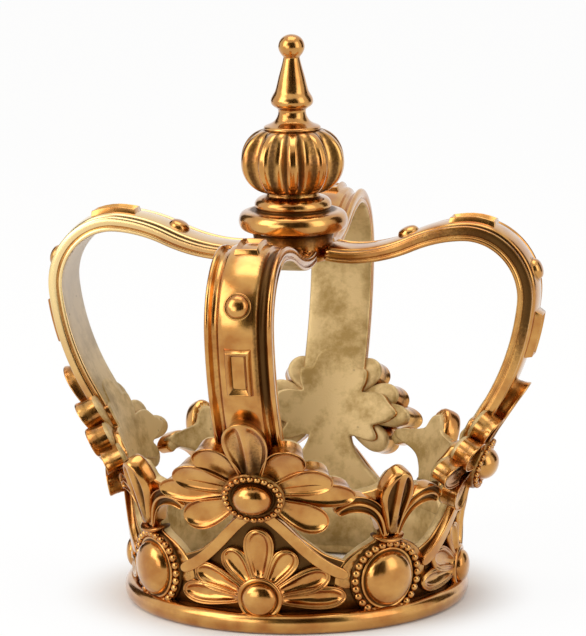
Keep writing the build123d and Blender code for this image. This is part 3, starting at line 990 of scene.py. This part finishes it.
def shadeArch(bm, turn, end):
    # patina in groove and cove; browner flanks on the arch on +X, and on −X paler gilding as a painted
    # highlight for the light from the left; a painted shade streak runs down the front arch
    shape = archShape
    sheenAndFlank = shape["sheenAndFlanks"].get(turn, 0.0)
    fadeFrom, fadeIn, fadeOut = shape["sheenAndFlankFades"]
    shadeStreakLow, shadeStreakHigh = shape["shadeStreak"][2:4]
    layer = hollowLayer(bm)
    for vert in bm.verts:
        across, along, out = abs(vert.co.x) / shape["widen"] / mm, vert.co.y / mm, vert.co.z / mm
        fade = min((end - along) / fadeOut, max((along - fadeFrom) / fadeIn, 0), 1)
        sideTone = sheenAndFlank * fade if sheenAndFlank < 0 else sheenAndFlank * fade * patinaIn(shape["flank"], across, out)
        hollow = patinaIn(shape["groove"], across, out) or patinaIn(shape["cove"], across, out)
        vert[layer] = hollow or sideTone
        # painted shade on the right of the front arch
        if turn == shape["shadeStreakTurn"] and vert.co.x > 0:
            fade = min(min(along - shadeStreakLow, shadeStreakHigh - along) / shape["shadeStreakFade"], 1)
            vert[layer] += fade * patinaIn(shape["shadeStreak"], across, along)


def makeArches():
    bm = newBmesh()
    for turn in quarterTurns:
        joinInto(bm, archAt(turn))
    makePiece("arches", bm, 1)


archBoss = {
    "shares": (0.097, 0.59),  # of the way from the widest point to the hub
    "seat": 4.5,
    "profile": [(0, -0.9), (5, -0.9), (5.1, 0.4), (4.85, 0.8), (4.4, 0.85), (4.15, 0.6), (4.1, 0.9),
                (3.9, 1.7), (3.2, 2.6), (2.1, 3.1), (0.9, 3.3), (0, 3.35)],
    "steps": 24,
    "groove": (4.0, 4.5, 0.9, 0.7), "footPatina": (0.0, 0.7),
}


def makeArchBosses():
    shape = archBoss
    whole = newBmesh()
    for share in shape["shares"]:
        bm = turnedBoss(shape)
        seatOnArch(bm, wallLength + share * overLength, shape["seat"])
        joinInto(whole, bm)
    aroundCrown(whole)
    makePiece("archBosses", whole, 1)


archGem = {
    # place along the arch, length, seat: on the crest and on the side
    "places": [(wallLength + 0.352 * overLength, 14.2, 3.9), (0.905 * wallLength, 16.8, 4.45)],
    "width": 9.8,
    "back": -0.8, "backPatina": 0.9,
    # sloped frame and sunk middle: up, narrow, shorten, patina
    "rings": [(1.3, 1, 1, 0.5), (1.9, 0.8, 0.88, 0), (0.1, 0.92, 0.955, 0), (-1.8, 0.6, 0.8, 0.9),
              (0, 0.7, 0.86, 0.9)],
    "bevel": 0.16, "bevelSteps": 2,
    "longEdge": 4.0, "cuts": 5,  # long edges are cut, so that they follow the arch
}


def makeArchGems():
    shape = archGem
    across = shape["width"] / 2
    whole = newBmesh()
    for along, length, seat in shape["places"]:
        bm = newBmesh()
        corners = mirrored([(across, -length / 2), (across, length / 2)])
        growRings(bm, [newFace(bm, corners, shape["back"], shape["backPatina"])], shape["rings"])
        sharp = [edge for edge in bm.edges if edge.is_manifold]
        bmesh.ops.bevel(bm, geom=sharp, offset=shape["bevel"] * mm, offset_type="OFFSET", affect="EDGES",
                        segments=shape["bevelSteps"], profile=0.5, material=-1, clamp_overlap=True)
        lengthwise = [edge for edge in bm.edges
                      if abs(edge.verts[0].co.y - edge.verts[1].co.y) > shape["longEdge"] * mm]
        bmesh.ops.subdivide_edges(bm, edges=lengthwise, cuts=shape["cuts"], use_grid_fill=True)
        shifted(bm, bm.verts, along, seat)
        bendToArch(bm)
        joinInto(whole, bm)
    aroundCrown(whole)
    makePiece("archGems", whole, 0)


makeArches()
makeArchBosses()
makeArchGems()

print("crown: hub and finial")

finialShape = {
    # radius, height and how much patina stays there: hub and discs, then the spire over the melon
    "hub": [(0, 126.2, 0.3), (13.6, 126.2, 0.3), (14.6, 126.8, 0.3), (14.8, 128, 0.4), (14.6, 132, 0.6),
            (14.9, 135.8, 0.9), (15.8, 136.7, 1), (18, 137, 0.6), (19.5, 137.9, 0.1), (20.3, 139.6, 0),
            (20.3, 141.6, 0), (19.6, 143.4, 0), (18.2, 144.4, 0.2), (15.4, 144.7, 0.9), (13.9, 144.8, 1),
            (13.7, 145, 0.8), (14.2, 145.5, 0.1), (14.35, 146.4, 0), (14.2, 147.6, 0), (13.4, 148.7, 0.1),
            (12.2, 149.4, 0.3), (10.6, 149.6, 0.5), (10, 149.9, 0.6), (9.8, 150.6, 0.4), (9.5, 151.4, 1),
            (9, 153, 1)],
    "spire": [(9, 170, 1), (9.4, 173.4, 1), (10, 174.1, 0.6), (10.6, 174.5, 0.1), (10.65, 175.2, 0),
              (10.1, 175.7, 0.1), (8.9, 176.1, 0.4), (7.3, 176.8, 0.1), (6.4, 177.6, 0), (6, 178.3, 0),
              (5.4, 179.2, 0), (5.1, 180.6, 0.1), (5.15, 181.6, 0.5), (5.6, 182.1, 0.8), (6.8, 182.7, 0.2),
              (7.75, 183.6, 0), (7.95, 184.7, 0), (7.75, 185.8, 0), (7.1, 187, 0), (6.5, 187.9, 0.5),
              (6.2, 188.6, 0.4), (5.9, 189.4, 0), (5.3, 191.9, 0), (4.85, 193.8, 0), (4.2, 196, 0),
              (3.5, 198.5, 0), (3.05, 200.4, 0.2), (3, 200.9, 0.7), (3.4, 201.3, 0.3), (4.3, 202.4, 0),
              (4.85, 203.8, 0), (4.95, 204.8, 0), (4.65, 206.4, 0), (3.7, 207.9, 0), (2.1, 208.9, 0),
              (0, 209.3, 0)],
    "steps": 24,
}


def makeFinial():
    whole = newBmesh()
    for profile in (finialShape["hub"], finialShape["spire"]):
        bm = spinProfile([point[:2] for point in profile], finialShape["steps"])
        layer = hollowLayer(bm)
        for vert in bm.verts:
            reach, level = hypot(vert.co.x, vert.co.y) / mm, vert.co.z / mm
            nearest = min(profile, key=lambda point: (point[0] - reach) ** 2 + (point[1] - level) ** 2)
            vert[layer] = nearest[2]
        joinInto(whole, bm)
    makePiece("finial", whole)


melonShape = {
    "foot": 151.0, "top": 174.4, "reach": 19.6, "neck": 9.6,
    "rows": 15,
    "swellPower": 1.1,
    "ribs": 10, "ribStart": -77.7,  # one rib faces the front
    # radial shares over one pitch: rib with raised borders, then the hollow flute
    "columns": [0.985, 1.007, 0.999, 1.007, 0.985, 0.93, 0.88, 0.84, 0.815, 0.805, 0.815, 0.84, 0.88, 0.93],
    "patina": [0.3, 0, 0.2, 0, 0.3, 0.9, 0.9, 0.7, 0.45, 0.3, 0.45, 0.7, 0.9, 0.9],
    "ribMiddle": 2,
    "fluteFade": 1.4, "neckPatina": 2.5,  # at both ends, by the swell: flutes run out, patina gathers
}


def makeMelon():
    shape = melonShape
    neck, swellReach, last = shape["neck"], shape["reach"] - shape["neck"], shape["rows"] - 1
    middle, half = (shape["foot"] + shape["top"]) / 2, (shape["top"] - shape["foot"]) / 2
    points = []
    for row in range(shape["rows"]):
        turn = pi * (row / last - 0.5)
        swell = cos(turn) ** shape["swellPower"] if 0 < row < last else 0.0
        points.append((neck + swellReach * swell, middle + half * sin(turn)))
    count = len(shape["columns"])
    bm = spinProfile(points, shape["ribs"] * count)
    layer = hollowLayer(bm)
    pitch = 2 * pi / shape["ribs"]
    start = radians(shape["ribStart"]) - pitch * shape["ribMiddle"] / count
    for vert in bm.verts:
        column = round((atan2(vert.co.y, vert.co.x) - start) / pitch * count) % count
        swell = (hypot(vert.co.x, vert.co.y) / mm - neck) / swellReach
        share = 1 + (shape["columns"][column] - 1) * min(1, shape["fluteFade"] * swell)
        vert.co.x *= share
        vert.co.y *= share
        vert[layer] = max(shape["patina"][column], 1 - shape["neckPatina"] * swell)
    makePiece("melon", bm)


makeFinial()
makeMelon()

print("crown: stage")

stageSet = {
    "floor": 12.0,
    "floorColour": "#F4F2EE",
    "whiteSpan": (0.058, 0.092),  # from the crown's axis: the sweep turns pure white
    "whiteMost": 0.9,
    "azimuth": 12.7, "elevation": 10.84, "distance": 1.5,
    "aim": (-0.00045, -0.0001, 0.1039),
    "roll": -0.6,
    "lens": 230.0,
    "farClip": 50.0,
    "worldLight": 0.8,
    "lampAim": (0, 0, 0.1),
}


def seenDirectly(tree):
    # 1 for what the camera sees by itself, in a reflection or through glass
    path = addNode(tree, "LightPath").outputs
    seen = reckon(tree, "MAXIMUM", path["Is Camera Ray"], path["Is Glossy Ray"])
    return reckon(tree, "MAXIMUM", seen, path["Is Transmission Ray"])


def lookAt(place, aim, roll=0.0):
    back = (Vector(place) - Vector(aim)).normalized()
    turn = back.to_track_quat("Z", "Y").to_matrix().to_4x4()
    return Matrix.Translation(place) @ turn @ Matrix.Rotation(radians(roll), 4, "Z")


def makePanel(name, width, height, place, material):
    # flat rectangle of the set
    bm = bmesh.new()
    bmesh.ops.create_grid(bm, x_segments=1, y_segments=1, size=0.5)
    bmesh.ops.scale(bm, vec=(width, height, 1), verts=bm.verts)
    bmesh.ops.transform(bm, matrix=place, verts=bm.verts)
    return linkMesh(name, bm, material)


def makeFloor():
    # pale sweep: white to the eye and in reflections, with the crown's shadow kept
    material, tree = newMaterial("paleSweep")
    coords = addNode(tree, "TexCoord").outputs["Object"]
    away = addNode(tree, "VectorMath", {0: coords}, operation="LENGTH").outputs["Value"]
    fade = remap(tree, away, stageSet["whiteSpan"], (0, stageSet["whiteMost"]), "SMOOTHSTEP")
    pale = addNode(tree, "BsdfDiffuse", {"Color": linear(stageSet["floorColour"])})
    white = addNode(tree, "Emission")
    mix = addNode(tree, "MixShader", {
        0: reckon(tree, "MULTIPLY", seenDirectly(tree), fade),
        1: pale.outputs["BSDF"], 2: white.outputs["Emission"]})
    surface(tree, mix.outputs["Shader"])
    floor = makePanel("floor", stageSet["floor"], stageSet["floor"], Matrix(), material)


def makeWorld():
    world = bpy.data.worlds.new("studio")
    bpy.context.scene.world = world
    world.use_nodes = True
    tree = world.node_tree
    tree.nodes.clear()
    strength = remap(tree, seenDirectly(tree), (0, 1), (stageSet["worldLight"], 1.0))
    background = addNode(tree, "Background", {"Color": (1, 1, 1, 1), "Strength": strength})
    addNode(tree, "OutputWorld", {"Surface": background.outputs["Background"]})


def makeCamera():
    azimuth, elevation = radians(stageSet["azimuth"]), radians(stageSet["elevation"])
    aim, distance = Vector(stageSet["aim"]), stageSet["distance"]
    reach, rise = distance * cos(elevation), distance * sin(elevation)
    place = aim + Vector((reach * sin(azimuth), -reach * cos(azimuth), rise))
    camera = linked("camera", bpy.data.cameras.new("camera"))
    camera.data.lens = stageSet["lens"]
    camera.data.clip_end = stageSet["farClip"]
    camera.matrix_world = lookAt(place, aim, stageSet["roll"])
    bpy.context.scene.camera = camera


softLamps = {
    # name: place, size, power
    "leftBox": ((-1.1, -0.9, 0.95), (0.9, 1.2), 10.5),
    "rightBox": ((1.3, -0.5, 0.7), (0.7, 1.2), 4),
    "topBox": ((0.0, 0.1, 1.5), (1.0, 1.0), 7),
    "lowBox": ((-0.55, -1.25, 0.3), (0.7, 0.5), 2.2),
}


def makeLamps():
    for name, (place, size, power) in softLamps.items():
        lamp = bpy.data.lights.new(name, "AREA")
        lamp.shape = "RECTANGLE"
        lamp.size, lamp.size_y = size
        lamp.energy = power
        linked(name, lamp).matrix_world = lookAt(place, stageSet["lampAim"])


studioCards = {
    # cards round the set, which the camera doesn't see: they draw the darker bands on polished metal
    # name: place, size, colour
    "cardFront": ((0.42, -1.3, 0.3), (0.2, 1.4), "#120F0C"),
    "cardMiddle": ((0.03, -1.3, 0.4), (0.15, 1.2), "#120F0C"),
    "cardHigh": ((0.55, -1.0, 1.15), (0.4, 0.36), "#120F0C"),
    "cardRight": ((1.0, -1.15, 0.5), (0.3, 1.6), "#1C1712"),
    "cardWall": ((0.4, -1.95, 0.9), (2.3, 1.9), "#6E6252"),
    "cardBackLeft": ((-1.2, 0.9, 0.5), (0.7, 1.4), "#4A3A28"),
    "cardBackRight": ((1.2, 0.9, 0.5), (0.7, 1.4), "#4A3A28"),
}


def makeCards():
    for name, (place, size, colour) in studioCards.items():
        material, tree = newMaterial(name + "Felt")
        felt = addNode(tree, "BsdfDiffuse", {"Color": linear(colour)})
        surface(tree, felt.outputs["BSDF"])
        card = makePanel(name, *size, lookAt(place, stageSet["lampAim"]), material)
        card.visible_camera = False


makeFloor()
makeWorld()
makeCamera()
makeLamps()
makeCards()
bpy.context.scene.view_settings.view_transform = "Standard"

print("crown: done")
